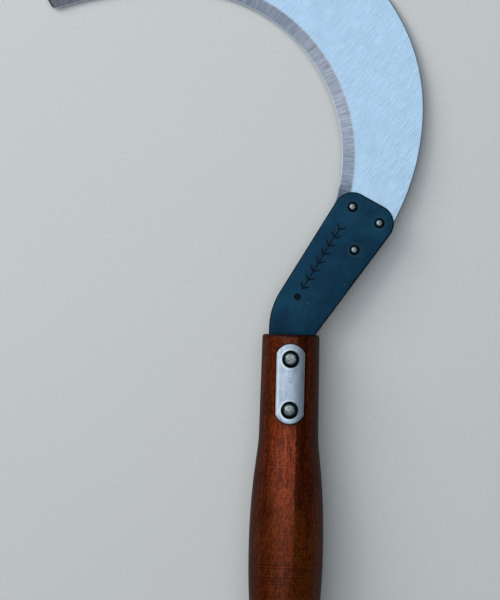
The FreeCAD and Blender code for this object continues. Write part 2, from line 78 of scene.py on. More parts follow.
def sweep(centre, radius, first, last, step):
    """Points along a circle from one angle to another, both ends included."""
    count = max(2, math.ceil(abs(math.radians(last - first)) * radius / step))
    return [around(centre, radius, first + (last - first) * i / count) for i in range(count + 1)]


def arc_between(start, finish, radius, turns_left, step):
    """Points after start along the shorter arc of this radius to finish."""
    chord = finish - start
    height = math.sqrt(radius**2 - (chord.length / 2) ** 2)
    to_left = Vector((-chord.y, chord.x)).normalized()
    centre = (start + finish) / 2 + to_left * (height if turns_left else -height)
    first = math.degrees(math.atan2(start.y - centre.y, start.x - centre.x))
    last = math.degrees(math.atan2(finish.y - centre.y, finish.x - centre.x))
    if turns_left and last < first:
        last += 360
    if not turns_left and last > first:
        last -= 360
    return sweep(centre, radius, first, last, step)[1:]


def line_between(start, finish, step):
    """Points after start along a straight line to finish."""
    count = max(1, math.ceil((finish - start).length / step))
    return [start.lerp(finish, (i + 1) / count) for i in range(count)]


def resample(path, count):
    """The same path as this many evenly spaced points, and its length."""
    lengths = [0.0]
    for here, there in zip(path, path[1:]):
        lengths.append(lengths[-1] + (there - here).length)
    total = lengths[-1]
    spaced = []
    index = 0
    for number in range(count):
        wanted = total * number / (count - 1)
        while index < len(path) - 2 and lengths[index + 1] < wanted:
            index += 1
        share = (wanted - lengths[index]) / (lengths[index + 1] - lengths[index])
        spaced.append(path[index].lerp(path[index + 1], min(1.0, share)))
    return spaced, total


def outward_normals(loop):
    """Unit normals of a closed clockwise loop, pointing away from its inside."""
    normals = []
    for index in range(len(loop)):
        ahead = loop[(index + 1) % len(loop)] - loop[index - 1]
        normals.append(Vector((-ahead.y, ahead.x)).normalized())
    return normals


def smoothstep(low, high, value):
    """Rises smoothly from 0 at low to 1 at high."""
    share = min(1.0, max(0.0, (value - low) / (high - low)))
    return share * share * (3 - 2 * share)


# -------- mesh building


def mesh_from_rings(name, rings, capped=True):
    """A mesh, in millimetres, from closed rings of points; faces join each ring to the next."""
    mesh = bpy.data.meshes.new(name)
    size = len(rings[0])
    places = [Vector(place) * MM for ring in rings for place in ring]
    faces = []
    for row in range(len(rings) - 1):
        for column in range(size):
            following = (column + 1) % size
            low, high = row * size, (row + 1) * size
            faces.append((low + column, low + following, high + following, high + column))
    if capped:
        faces.append(tuple(reversed(range(size))))
        faces.append(tuple(range((len(rings) - 1) * size, len(rings) * size)))
    mesh.from_pydata(places, [], faces)
    return finish_mesh(mesh)


def finish_mesh(mesh):
    """Outward faces, smooth shading and sharp edges where the surface turns quickly."""
    shape = bmesh.new()
    shape.from_mesh(mesh)
    bmesh.ops.remove_doubles(shape, verts=shape.verts, dist=1e-7)
    bmesh.ops.recalc_face_normals(shape, faces=shape.faces)
    shape.to_mesh(mesh)
    shape.free()
    mesh.polygons.foreach_set("use_smooth", [True] * len(mesh.polygons))
    mesh.set_sharp_from_angle(angle=math.radians(SHARP_ANGLE))
    mesh.update()
    return mesh


def store(mesh, name, values):
    """Keeps one number for each vertex, for the material to read."""
    mesh.attributes.new(name, "FLOAT", "POINT").data.foreach_set("value", values)


def add_piece(name, mesh, material, nodes, location=(0, 0, 0)):
    """Puts a finished mesh in the scene in place of its CAD node."""
    piece = bpy.data.objects.new(name, mesh)
    bpy.context.scene.collection.objects.link(piece)
    piece.location = location
    mesh.materials.clear()
    mesh.materials.append(material)
    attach(piece, "root")
    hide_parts(*nodes)
    return piece


def triangulate(mesh):
    """Splits every face into flat triangles, which cut cleanly."""
    shape = bmesh.new()
    shape.from_mesh(mesh)
    bmesh.ops.triangulate(shape, faces=shape.faces)
    shape.to_mesh(mesh)
    shape.free()


def carve(mesh, cutters):
    """The mesh with every cutter mesh taken out of it."""
    triangulate(mesh)
    body = bpy.data.objects.new("carved", mesh)
    bpy.context.scene.collection.objects.link(body)
    tools = []
    for number, cutter in enumerate(cutters):
        tool = bpy.data.objects.new(f"cutter_{number}", cutter)
        bpy.context.scene.collection.objects.link(tool)
        cut = body.modifiers.new(f"cut_{number}", "BOOLEAN")
        cut.operation = "DIFFERENCE"
        cut.solver = "EXACT"
        cut.object = tool
        tools.append(tool)
    bpy.context.view_layer.update()
    graph = bpy.context.evaluated_depsgraph_get()
    carved = bpy.data.meshes.new_from_object(body.evaluated_get(graph))
    for spent in (body, *tools):
        bpy.data.objects.remove(spent)
    return finish_mesh(carved)


def prism(outline, low, high):
    """A closed prism between two heights over an outline, in millimetres."""
    rings = [[(place.x, place.y, height) for place in outline] for height in (low, high)]
    return mesh_from_rings("prism", rings)


def disc_outline(centre, radius, corners=48):
    """Corners round a circle."""
    return [around(centre, radius, 360 * index / corners) for index in range(corners)]


def rivet_centre(rivet):
    """Middle of a rivet in X and Y, in millimetres."""
    low, high = RIVET_BOXES[rivet]
    return Vector(((low.x + high.x) / 2, (low.y + high.y) / 2))


def bores(rivets, radius, low, high):
    """Cutters for a round hole at each rivet, between two heights in millimetres."""
    outlines = [disc_outline(rivet_centre(rivet), radius) for rivet in rivets]
    return [prism(outline, low, high) for outline in outlines]


# -------- shader helpers


class Shader:
    """A material under construction: each method adds a node and returns its output."""

    def __init__(self, name):
        self.material = bpy.data.materials.new(name)
        self.material.use_nodes = True
        self.tree = self.material.node_tree
        self.tree.nodes.clear()
        self.surface = self.tree.nodes.new("ShaderNodeBsdfPrincipled")
        output = self.tree.nodes.new("ShaderNodeOutputMaterial")
        self.tree.links.new(self.surface.outputs[0], output.inputs["Surface"])
        self.place = self.node("TexCoord").outputs["Object"]

    def node(self, kind, inputs=None, **settings):
        """Adds a node, with its inputs fed and its settings made."""
        added = self.tree.nodes.new(f"ShaderNode{kind}")
        for key, setting in settings.items():
            setattr(added, key, setting)
        for key, value in (inputs or {}).items():
            self.feed(added.inputs[key], value)
        return added

    def feed(self, socket, value):
        """Links an output to a socket, or sets the socket's own value."""
        if isinstance(value, bpy.types.NodeSocket):
            self.tree.links.new(value, socket)
        elif isinstance(value, tuple) and len(value) == 3 and socket.type == "RGBA":
            socket.default_value = (*value, 1.0)
        else:
            socket.default_value = value

    def set(self, **sockets):
        """Feeds the surface's sockets, with words joined by underscores."""
        for key, value in sockets.items():
            self.feed(self.surface.inputs[key.replace("_", " ")], value)

    def attribute(self, name):
        return self.node("Attribute", attribute_name=name).outputs["Fac"]

    def axes(self):
        """X, Y and Z on the object, in metres."""
        parts = self.node("SeparateXYZ", {0: self.place})
        return parts.outputs[0], parts.outputs[1], parts.outputs[2]

    def point(self, x, y, z):
        return self.node("CombineXYZ", {0: x, 1: y, 2: z}).outputs[0]

    def length(self, vector):
        return self.node("VectorMath", {0: vector}, operation="LENGTH").outputs["Value"]

    def math(self, operation, first, second=0.0):
        return self.node("Math", {0: first, 1: second}, operation=operation).outputs[0]

    def plus(self, first, second):
        return self.math("ADD", first, second)

    def minus(self, first, second):
        return self.math("SUBTRACT", first, second)

    def times(self, first, second):
        return self.math("MULTIPLY", first, second)

    def spread(self, value, low, high, to_low=0.0, to_high=1.0):
        """Maps a range smoothly to another and clamps it."""
        inputs = {
            "Value": value,
            "From Min": low,
            "From Max": high,
            "To Min": to_low,
            "To Max": to_high,
        }
        return self.node("MapRange", inputs, interpolation_type="SMOOTHSTEP").outputs[0]

    def moved(self, place, scale=(1, 1, 1), turn=0.0):
        """The place turned about Z by degrees, then stretched."""
        rotation = (0, 0, math.radians(turn))
        turned = self.node("Mapping", {"Vector": place, "Rotation": rotation})
        return self.node("Mapping", {"Vector": turned.outputs[0], "Scale": scale}).outputs[0]

    def noise(self, place, scale=1.0, detail=2.0, roughness=0.5):
        inputs = {"Vector": place, "Scale": scale, "Detail": detail, "Roughness": roughness}
        return self.node("TexNoise", inputs).outputs["Fac"]

    def stretched(self, *scale, **settings):
        """Noise on the object with its own scale along X, Y and Z."""
        return self.noise(self.moved(self.place, scale=scale), **settings)

    def cells(self, place, scale=1.0):
        """Distance to the nearest of many scattered points."""
        return self.node("TexVoronoi", {"Vector": place, "Scale": scale}).outputs["Distance"]

    def ramp(self, value, *stops):
        """Colours by value; each stop is (value, (red, green, blue))."""
        added = self.node("ValToRGB", {0: value})
        elements = added.color_ramp.elements
        while len(elements) < len(stops):
            elements.new(0.5)
        for element, (position, colour) in zip(elements, stops):
            element.position = position
            element.color = (*colour, 1.0)
        return added.outputs[0]

    def mix(self, share, first, second, blend="MIX"):
        """The first colour turned towards the second by a share."""
        inputs = {0: share, 6: first, 7: second}
        return self.node("Mix", inputs, data_type="RGBA", blend_type=blend).outputs[2]

    def tint(self, colour, shade, share=1.0):
        """A colour multiplied by a shade."""
        return self.mix(share, colour, shade, "MULTIPLY")

    def blend_values(self, share, first, second):
        return self.node("Mix", {0: share, 2: first, 3: second}, data_type="FLOAT").outputs[0]

    def bump(self, height, distance, strength):
        inputs = {"Height": height, "Distance": distance, "Strength": strength}
        return self.node("Bump", inputs).outputs[0]

    def ring_distance(self, centre):
        """Distance in the XY plane from a point given in millimetres, in millimetres."""
        x, y, _ = self.axes()
        across = self.minus(x, centre[0] * MM)
        along = self.minus(y, centre[1] * MM)
        squares = self.plus(self.math("POWER", across, 2), self.math("POWER", along, 2))
        return self.times(self.math("SQRT", squares), 1 / MM)


# -------- blade

BOW_CENTRE = Vector((-53.7, 237.0))
BOW_RADIUS = 75.3
REACH_CENTRE = Vector((-56.37, 144.44))
REACH_RADIUS = 167.9
HEEL_INNER_ANGLE = -30.4
BOW_TO_REACH_ANGLE = 88.35
REACH_END_ANGLE = 109.04
TIP_CORNER = Vector((-119.5, 313.8))
TIP_ANGLE = 119.4
TIP_EDGE = 10.92
TIP_ROUND = 2.5
BACK_CENTRE = Vector((-28.0, 259.0))
BACK_RADIUS = 86.5
CROWN_CENTRE = Vector((-26.85, 194.31))
CROWN_RADIUS = 151.2
BACK_TO_CROWN_ANGLE = 91.02
CROWN_END_ANGLE = 127.79
FLANK_RADIUS = 110.2
HEEL_OUTER_ANGLE = -41.5

BLADE_STATIONS = 420
BEVEL_WIDTH = 6.0
BEVEL_WANDER = 0.16
RIM_WIDTH = 0.5
RIM_NICK = 0.05
EDGE_THICK = 0.12
BACK_EDGE_ROUND = 0.15
SHEARED_WIDTH = 0.5
GRIND_START_ANGLE = -13.0
GRIND_FULL_ANGLE = -8.0
# the mesh's rows: distances from the edge, then shares of the flat behind the bevel
BEVEL_ROWS = (0.0, 0.2, 0.4, 0.6, 1.0, 1.8, 2.6, 3.4, 4.2, 5.0, 5.6, 6.0, 6.4)
FLAT_SHARES = (0.06, 0.14, 0.24, 0.36, 0.48, 0.6, 0.72, 0.84, 0.93)
UNDERSIDE_SHARES = (0.85, 0.6, 0.35, 0.12, 0.0)
# the edge distance given to points that aren't on the top
NO_EDGE = 99.0


def inner_edge(step=0.25):
    """The cutting edge from the heel to the tip, with the tip's rounded corner."""
    path = sweep(BOW_CENTRE, BOW_RADIUS, HEEL_INNER_ANGLE, BOW_TO_REACH_ANGLE, step)
    path += sweep(REACH_CENTRE, REACH_RADIUS, BOW_TO_REACH_ANGLE, REACH_END_ANGLE, step)[1:]
    round_end = around(TIP_CORNER, -TIP_EDGE, TIP_ANGLE)
    return path + arc_between(path[-1], round_end, TIP_ROUND, False, step)


def outer_edge(step=0.25):
    """The back edge from the heel over the crown to the tip's corner."""
    flank_centre = BACK_CENTRE + Vector((BACK_RADIUS - FLANK_RADIUS, 0))
    path = sweep(flank_centre, FLANK_RADIUS, HEEL_OUTER_ANGLE, 0, step)
    path += sweep(BACK_CENTRE, BACK_RADIUS, 0, BACK_TO_CROWN_ANGLE, step)[1:]
    path += sweep(CROWN_CENTRE, CROWN_RADIUS, BACK_TO_CROWN_ANGLE, CROWN_END_ANGLE, step)[1:]
    path[-1] = TIP_CORNER.copy()
    return path


TIP_TRAVEL = resample(inner_edge(), 2)[1]


def blade_section(edge, back, outward, travel, ground):
    """Points round one section from the edge over the back, with height and edge distance."""
    back_z, top_z = BLADE_LOW.z, BLADE_HIGH.z
    thick = top_z - back_z
    width = BEVEL_WIDTH + BEVEL_WANDER * noise.noise(Vector((travel * 0.12, 3.1, 0))) * ground
    nick = RIM_NICK * noise.noise(Vector((travel * 0.9, 7.7, 0))) * ground
    section = []
    for distance in BEVEL_ROWS:
        place = edge + outward * (distance + (nick if distance < RIM_WIDTH else 0))
        rise = EDGE_THICK + (thick - EDGE_THICK) * min(1.0, distance / width)
        rise = thick + (rise - thick) * ground
        section.append((place, back_z + rise, distance))
    bevel_end = edge + outward * BEVEL_ROWS[-1]
    for share in FLAT_SHARES:
        place = bevel_end.lerp(back, share)
        section.append((place, top_z, (place - edge).length))
    inward = (bevel_end - back).normalized()
    section.append((back + inward * SHEARED_WIDTH, top_z, (back - edge).length))
    rounded = ((top_z, -1, (0, 22.5, 45, 67.5, 90)), (back_z, 1, (90, 45, 0)))
    for level, way, turns in rounded:
        for turn in turns:
            inset = BACK_EDGE_ROUND * (1 - math.sin(math.radians(turn)))
            drop = BACK_EDGE_ROUND * (1 - math.cos(math.radians(turn)))
            section.append((back + inward * inset, level + way * drop, NO_EDGE))
    for share in UNDERSIDE_SHARES:
        section.append((edge.lerp(back, share), back_z, NO_EDGE))
    return section


def blade_mesh():
    """Crescent with rivet holes and a ground bevel that runs out just before the shank."""
    inner, inner_length = resample(inner_edge(), BLADE_STATIONS)
    outer, _ = resample(outer_edge(), BLADE_STATIONS)
    grind_start = math.radians(GRIND_START_ANGLE - HEEL_INNER_ANGLE) * BOW_RADIUS
    grind_full = math.radians(GRIND_FULL_ANGLE - HEEL_INNER_ANGLE) * BOW_RADIUS
    tip_way = (outer[-1] - inner[-1]).normalized()

    rings = []
    marks = {"edge_distance": [], "edge_travel": [], "ground": [], "sheared": []}
    for index, (edge, back) in enumerate(zip(inner, outer)):
        travel = inner_length * index / (BLADE_STATIONS - 1)
        ahead = inner[min(index + 1, BLADE_STATIONS - 1)] - inner[max(index - 1, 0)]
        outward = Vector((ahead.y, -ahead.x)).normalized()
        to_tip = smoothstep(inner_length - 12, inner_length - 4, travel)
        outward = outward.lerp(tip_way, to_tip).normalized()
        ground = smoothstep(grind_start, grind_full, travel)
        section = blade_section(edge, back, outward, travel, ground)
        rings.append([(place.x, place.y, height) for place, height, _ in section])
        for _, height, distance in section:
            on_side = distance == NO_EDGE and height > BLADE_LOW.z
            marks["edge_distance"].append(distance)
            marks["edge_travel"].append(travel)
            marks["ground"].append(1.0 if distance < BEVEL_WIDTH + 0.1 else 0.0)
            marks["sheared"].append(1.0 if on_side else 0.0)
    mesh = mesh_from_rings("blade_ground", rings)
    for name, values in marks.items():
        store(mesh, name, values)
    return carve(mesh, bores(BLADE_RIVETS, BLADE_RIVET_RADIUS, BLADE_LOW.z - 1, BLADE_HIGH.z + 1))


def sheet_steel(shader):
    """Colour, roughness and height of the rolled sheet, scratched up to the right."""
    slanted = shader.moved(shader.place, turn=-52)
    long_lines = shader.noise(shader.moved(slanted, scale=(120, 1900, 1)), detail=3, roughness=0.6)
    fine_lines = shader.noise(shader.moved(slanted, scale=(260, 2700, 1)), detail=3)
    crossing = shader.moved(shader.place, turn=-37)
    sparse = shader.noise(shader.moved(crossing, scale=(130, 1900, 1)), detail=1)
    marks = shader.spread(sparse, 0.66, 0.74)
    clouds = shader.noise(shader.place, scale=26, detail=3)
    speckle = shader.noise(shader.place, scale=1300, detail=2)
    mottle = shader.noise(shader.place, scale=150, detail=5, roughness=0.6)

    lines = shader.blend_values(0.5, long_lines, shader.blend_values(0.5, fine_lines, speckle))
    # painted reflection: the sheet's blue tint stands in for a reflected cool sky
    colour = shader.ramp(
        lines, (0.34, (0.28, 0.395, 0.515)), (0.5, (0.335, 0.465, 0.6)), (0.66, (0.395, 0.53, 0.67))
    )
    colour = shader.mix(shader.spread(clouds, 0.4, 0.75, 0.0, 0.6), colour, (0.335, 0.462, 0.595))
    colour = shader.mix(shader.times(marks, 0.25), colour, (0.5, 0.62, 0.74))
    colour = shader.tint(colour, shader.spread(mottle, 0.34, 0.66, 0.972, 1.02))
    rough = shader.spread(lines, 0.3, 0.7, 0.4, 0.28)
    return colour, rough, shader.plus(lines, shader.times(marks, -0.25))


def bevel_steel(shader, distance, travel):
    """Colour, roughness and height of the bevel, with grind lines square to the edge."""
    place = shader.point(shader.times(travel, 2.3), shader.times(distance, 0.12), 0.0)
    grind = shader.noise(place, detail=5, roughness=0.72)
    place = shader.point(shader.times(travel, 0.22), shader.times(distance, 0.05), 4.0)
    bands = shader.noise(place, detail=2)
    # painted reflection: the bevel's blue tint stands in for a reflected cool sky
    colour = shader.ramp(
        grind, (0.34, (0.19, 0.205, 0.25)), (0.5, (0.29, 0.315, 0.375)), (0.66, (0.4, 0.43, 0.5))
    )
    colour = shader.mix(shader.spread(bands, 0.35, 0.65, 0.0, 0.2), colour, (0.23, 0.25, 0.295))
    # painted shade: the bevel is darker towards the heel, again where the grinding starts, over the
    # crown and at the tip
    shades = (
        (shader.spread(travel, 66, 32), (0.61, 0.67, 0.7)),
        (shader.spread(travel, 34, 24), (0.51, 0.54, 0.55)),
        (shader.spread(travel, 84, 112), (0.79, 0.82, 0.84)),
        (shader.spread(travel, TIP_TRAVEL - 70, TIP_TRAVEL - 8), (0.7, 0.68, 0.66)),
    )
    for share, shade in shades:
        colour = shader.tint(colour, shade, share)
    # painted highlight: a bright line along the cutting edge
    colour = shader.mix(shader.spread(distance, 0.42, 0.25, 0.0, 0.42), colour, (0.62, 0.68, 0.74))
    return colour, shader.spread(grind, 0.3, 0.7, 0.46, 0.3), grind


def blade_material():
    """Brushed steel, blue from a painted sky reflection, with a ground bevel and a back edge
    painted dark as burr and shade.
    """
    shader = Shader("blade_steel")
    distance = shader.attribute("edge_distance")
    ground = shader.attribute("ground")
    sheared = shader.attribute("sheared")
    sheet_colour, sheet_rough, sheet_height = sheet_steel(shader)
    travel = shader.attribute("edge_travel")
    bevel_colour, bevel_rough, bevel_height = bevel_steel(shader, distance, travel)

    colour = shader.mix(ground, sheet_colour, bevel_colour)
    # painted highlight: a bright line where the bevel meets the flat
    border_highlight = shader.times(shader.spread(distance, 5.55, 5.85), shader.spread(distance, 6.4, 6.05))
    border_highlight = shader.times(border_highlight, ground)
    colour = shader.mix(shader.times(border_highlight, 0.35), colour, (0.55, 0.63, 0.72))
    # painted shade with a dark burr: the sheared side of the back edge is painted dark
    colour = shader.mix(shader.times(sheared, 0.85), colour, (0.04, 0.06, 0.075))
    height = shader.blend_values(ground, sheet_height, bevel_height)
    shader.set(
        Base_Color=colour,
        Metallic=1.0,
        Roughness=shader.blend_values(ground, sheet_rough, bevel_rough),
        Normal=shader.bump(height, 0.00006, 0.55),
    )
    return shader.material


add_piece("blade_ground", blade_mesh(), blade_material(), ["blade"])


# -------- shank plate

TANG_HALF_WIDTH = 10.2
TANG_CORNER = 3.0
TANG_BEND = 33.3
TANG_BEND_Y = 158.2
SHANK_LEFT_ANGLE = 59.4
SHANK_TOP_ANGLE = -27.8
SHANK_RIGHT_ANGLE = -125.4
SHANK_CORNER = 8.75
SHANK_LEFT_CORNER = Vector((26.88, 212.84))
SHANK_RIGHT_CORNER = Vector((37.3, 207.35))
RIM_DROP = 0.4
RIM_INSET = 0.75
RIVET_RECESS_RADIUS = 2.4
RIVET_RECESS_DEPTH = 0.35

ORNAMENT_START = Vector((21.5, 205.0))
ORNAMENT_COUNT = 8
ORNAMENT_PITCH = 4.55
ORNAMENT_DEPTH = 0.22
ORNAMENT_DOT = 1.6
STEM_HALF_WIDTH = 0.3
ARC_MARK_CENTRE = Vector((22.7, 177.4))
ARC_MARK_RADIUS = 4.6


def shank_outline(step=0.6):
    """Clockwise outline of the shank and tang, from the tang's lower left corner."""
    end_y = SHANK_LOW.y
    half = TANG_HALF_WIDTH
    bend_centre = Vector((TANG_BEND - half, TANG_BEND_Y))
    right_slope_start = around(SHANK_RIGHT_CORNER, SHANK_CORNER, SHANK_RIGHT_ANGLE + 90)
    slope = math.tan(math.radians(SHANK_RIGHT_ANGLE))
    right_slope_end = Vector((half, right_slope_start.y - (right_slope_start.x - half) * slope))

    path = line_between(Vector((-half, end_y + TANG_CORNER)), Vector((-half, TANG_BEND_Y)), 2)
    path += sweep(bend_centre, TANG_BEND, 180, SHANK_LEFT_ANGLE + 90, step)[1:]
    left_start = around(SHANK_LEFT_CORNER, SHANK_CORNER, SHANK_LEFT_ANGLE + 90)
    path += line_between(path[-1], left_start, 2)
    first, last = SHANK_LEFT_ANGLE + 90, SHANK_TOP_ANGLE + 90
    path += sweep(SHANK_LEFT_CORNER, SHANK_CORNER, first, last, step)[1:]
    top_end = around(SHANK_RIGHT_CORNER, SHANK_CORNER, SHANK_TOP_ANGLE + 90)
    path += line_between(path[-1], top_end, 2)
    first, last = SHANK_TOP_ANGLE + 90, SHANK_RIGHT_ANGLE + 90
    path += sweep(SHANK_RIGHT_CORNER, SHANK_CORNER, first, last, step)[1:]
    path += line_between(path[-1], right_slope_end, 2)
    path += line_between(path[-1], Vector((half, end_y + TANG_CORNER)), 2)
    right_foot = Vector((half - TANG_CORNER, end_y + TANG_CORNER))
    path += sweep(right_foot, TANG_CORNER, 0, -90, step)[1:]
    left_foot = Vector((TANG_CORNER - half, end_y + TANG_CORNER))
    path += line_between(path[-1], Vector((left_foot.x, end_y)), 2)
    path += sweep(left_foot, TANG_CORNER, -90, -180, step)[1:]
    return path


def chevron(centre, way, low, high):
    """A small open arrow head that points along way."""
    side = Vector((-way.y, way.x))
    arm, stroke, lean, foot = 2.3, 0.95, 1.3, 0.7
    outline = [
        centre + way * lean,
        centre + side * arm - way * foot,
        centre + side * arm - way * (foot + stroke),
        centre + way * (lean - stroke),
        centre - side * arm - way * (foot + stroke),
        centre - side * arm - way * foot,
    ]
    return prism(outline, low, high)


def shank_mesh():
    """Flat plate with rounded rims, recessed rivet holes and a stamped ear of wheat."""
    bottom, top = SHANK_LOW.z, SHANK_HIGH.z
    loop = shank_outline()
    normals = outward_normals(loop)
    rings = []
    for side, level in ((1, bottom), (-1, top)):
        turns = (90, 60, 30, 0) if side > 0 else (0, 30, 60, 90)
        for turn in turns:
            inset = RIM_INSET * (1 - math.cos(math.radians(turn)))
            lift = RIM_DROP * (1 - math.sin(math.radians(turn))) * side
            rings.append(
                [(*(place - way * inset), level + lift) for place, way in zip(loop, normals)]
            )
    plate = mesh_from_rings("shank_blued", rings)

    through_low, through_high = bottom - 1, top + 1
    recess_floor = top - RIVET_RECESS_DEPTH
    cutters = bores(BLADE_RIVETS, BLADE_RIVET_RADIUS, through_low, through_high)
    cutters += bores(BLADE_RIVETS, RIVET_RECESS_RADIUS, recess_floor, through_high)
    cutters += bores(HANDLE_RIVETS, HANDLE_RIVET_RADIUS, through_low, through_high)
    way = around((0, 0), -1, SHANK_LEFT_ANGLE)
    for number in range(ORNAMENT_COUNT):
        centre = ORNAMENT_START + way * ORNAMENT_PITCH * number
        cutters.append(chevron(centre, way, top - ORNAMENT_DEPTH, through_high))
    stem_end = ORNAMENT_START + way * ORNAMENT_PITCH * (ORNAMENT_COUNT - 0.6)
    side = Vector((-way.y, way.x)) * STEM_HALF_WIDTH
    stem = [ORNAMENT_START - side, ORNAMENT_START + side, stem_end + side, stem_end - side]
    cutters.append(prism(stem, top - ORNAMENT_DEPTH * 0.8, through_high))
    dot = ORNAMENT_START + way * (ORNAMENT_PITCH * ORNAMENT_COUNT + 0.9)
    cutters.append(prism(disc_outline(dot, ORNAMENT_DOT), top - ORNAMENT_DEPTH, through_high))
    return carve(plate, cutters)


def shank_material():
    """Blue-black oxide, cloudy and finely scratched, with painted shade in the recesses and on the
    rims.
    """
    shader = Shader("blued_steel")
    x, _, z = shader.axes()
    clouds = shader.noise(shader.place, scale=55, detail=5, roughness=0.65)
    speckle = shader.noise(shader.place, scale=1900, detail=2)
    slanted = shader.moved(shader.place, turn=-58)
    hairs = shader.noise(shader.moved(slanted, scale=(30, 2600, 1)), detail=2)
    scuffs = shader.stretched(260, 60, 1, detail=3)
    nicks = shader.cells(shader.place, scale=160)

    colour = shader.ramp(
        clouds,
        (0.34, (0.0015, 0.015, 0.033)),
        (0.5, (0.003, 0.029, 0.058)),
        (0.66, (0.007, 0.047, 0.084)),
    )
    colour = shader.mix(shader.spread(hairs, 0.6, 0.76, 0.0, 0.22), colour, (0.05, 0.11, 0.15))
    colour = shader.mix(shader.spread(scuffs, 0.66, 0.8, 0.0, 0.4), colour, (0.03, 0.075, 0.1))
    colour = shader.mix(shader.spread(nicks, 0.035, 0.02, 0.0, 0.8), colour, (0.22, 0.26, 0.28))
    # a faint dark arc on the face, on the left of its circle
    ring = shader.ring_distance(ARC_MARK_CENTRE)
    arc = shader.spread(shader.math("ABSOLUTE", shader.minus(ring, ARC_MARK_RADIUS)), 0.45, 0.1)
    left = shader.spread(x, (ARC_MARK_CENTRE.x + 1) * MM, (ARC_MARK_CENTRE.x - 2) * MM)
    colour = shader.mix(shader.times(shader.times(arc, left), 0.45), colour, (0.001, 0.008, 0.016))
    # painted shade: darker below the face, in the stamped marks, the recesses and on the rolled rim
    top = SHANK_HIGH.z * MM
    below = shader.spread(z, top - 0.00001, top - 0.00007, 0.0, 0.95)
    colour = shader.mix(below, colour, (0.0012, 0.003, 0.005))
    # painted halo: a faint lighter ring round each rivet
    for rivet in BLADE_RIVETS:
        ring = shader.ring_distance(rivet_centre(rivet))
        near = shader.times(shader.spread(ring, 4.3, 3.0), shader.spread(ring, 2.3, 2.7))
        colour = shader.mix(shader.times(near, 0.14), colour, (0.025, 0.075, 0.1))
    height = shader.plus(shader.times(speckle, 0.5), hairs)
    shader.set(
        Base_Color=colour,
        Metallic=0.9,
        Roughness=shader.spread(clouds, 0.3, 0.75, 0.34, 0.5),
        Normal=shader.bump(height, 0.00005, 0.5),
    )
    return shader.material


add_piece("shank_blued", shank_mesh(), shank_material(), ["shank_plate"])


# -------- handle

# each arc up the handle's side: its end's radius and height, its own radius, whether it swells
HANDLE_ARCS = (
    (16.5, 6.0, 6.0, True),
    (16.1, 10.5, 11.0, True),
    (15.15, 18.0, 30.0, False),
    (15.85, 28.0, 72.0, False),
    (16.55, 35.0, 92.0, True),
    (17.2, 56.0, 339.0, True),
    (14.38, 101.5, 367.0, True),
    (13.7, 111.5, 89.1, False),
)
BUTT_FACE_RADIUS = 10.5
NECK_RADIUS, NECK_Y = 13.7, 111.5
SHOULDER_RADIUS = 13.2
SHOULDER_ROUND = 1.3
KERF_BOTTOM_Y = 93.0
HANDLE_SIDES = 192
LATHE_MARKS = (38.0, 60.0)
LATHE_PITCH = 1.45
LATHE_DEPTH = 0.05
SANDED_OFF = 0.04
SANDED_UNEVENLY = 0.07
PLATE_HALF_WIDTH = 6.45
PLATE_ARCH = 4.4
PLATE_END_RADIUS = (PLATE_HALF_WIDTH**2 + PLATE_ARCH**2) / (2 * PLATE_ARCH)


def neck_radius(y):
    """Radius of the neck's straight taper at a height."""
    share = (y - NECK_Y) / (HANDLE_TOP - SHOULDER_ROUND - NECK_Y)
    return NECK_RADIUS + (SHOULDER_RADIUS - NECK_RADIUS) * share


def handle_profile(step=0.55):
    """Radius and height up the handle's side, from the butt's centre to the shoulder's."""
    round_y = HANDLE_TOP - SHOULDER_ROUND
    path = [Vector((BUTT_FACE_RADIUS, 0.0))]
    for radius, height, curve, swells in HANDLE_ARCS:
        path += arc_between(path[-1], Vector((radius, height)), curve, swells, step)
    path += line_between(path[-1], Vector((SHOULDER_RADIUS, round_y)), step)
    corner = Vector((SHOULDER_RADIUS - SHOULDER_ROUND, round_y))
    return path + sweep(corner, SHOULDER_ROUND, 0, 90, 0.3)[1:]


def lathe_groove(y):
    """Depth of the turning marks left in the palm swell."""
    low, high = LATHE_MARKS
    if not low < y < high:
        return 0.0
    fade = smoothstep(low, low + 6, y) * smoothstep(high, high - 6, y)
    unevenness = 0.6 + 0.8 * noise.noise(Vector((y * 0.35, 0.5, 0)))
    wave = 0.5 + 0.5 * math.cos(2 * math.pi * y / LATHE_PITCH)
    return LATHE_DEPTH * fade * max(0.0, unevenness) * wave**4


def handle_mesh():
    """Turned handle with hand-sanded unevenness, a saw kerf and two rivet holes."""
    rings = []
    for radius, y in handle_profile():
        ring = []
        for side in range(HANDLE_SIDES):
            angle = 2 * math.pi * side / HANDLE_SIDES
            way = Vector((math.cos(angle), math.sin(angle)))
            place = Vector((way.x * 1.3, way.y * 1.3, y * 0.03))
            sanded = SANDED_UNEVENLY * noise.noise(place) - SANDED_OFF
            free = smoothstep(KERF_BOTTOM_Y + 22, KERF_BOTTOM_Y, y) * smoothstep(0, 8, y)
            reach = radius + sanded * free - lathe_groove(y)
            ring.append((way.x * reach, y, way.y * reach))
        rings.append(ring)
    body = mesh_from_rings("handle_turned", rings)

    half = SHOULDER_RADIUS + 6
    top = HANDLE_TOP + 3
    corners = [(-half, KERF_BOTTOM_Y), (half, KERF_BOTTOM_Y), (half, top), (-half, top)]
    cutters = [prism([Vector(corner) for corner in corners], SHANK_LOW.z, SHANK_HIGH.z)]
    cutters += bores(HANDLE_RIVETS, HANDLE_RIVET_RADIUS, -half, half)
    return carve(body, cutters)


def growth_rings(shader, warp, x, z):
    """Share of dark late wood; the pith lies outside the handle."""
    pith_x = shader.plus(x, shader.times(warp, 0.012))
    from_pith = shader.point(shader.plus(pith_x, 0.031), 0.0, shader.minus(z, 0.024))
    wobble = shader.stretched(30, 5, 30, detail=2)
    phase = shader.plus(shader.times(shader.length(from_pith), 430), shader.times(wobble, 3.2))
    return shader.spread(shader.math("FRACT", phase), 0.55, 0.98)


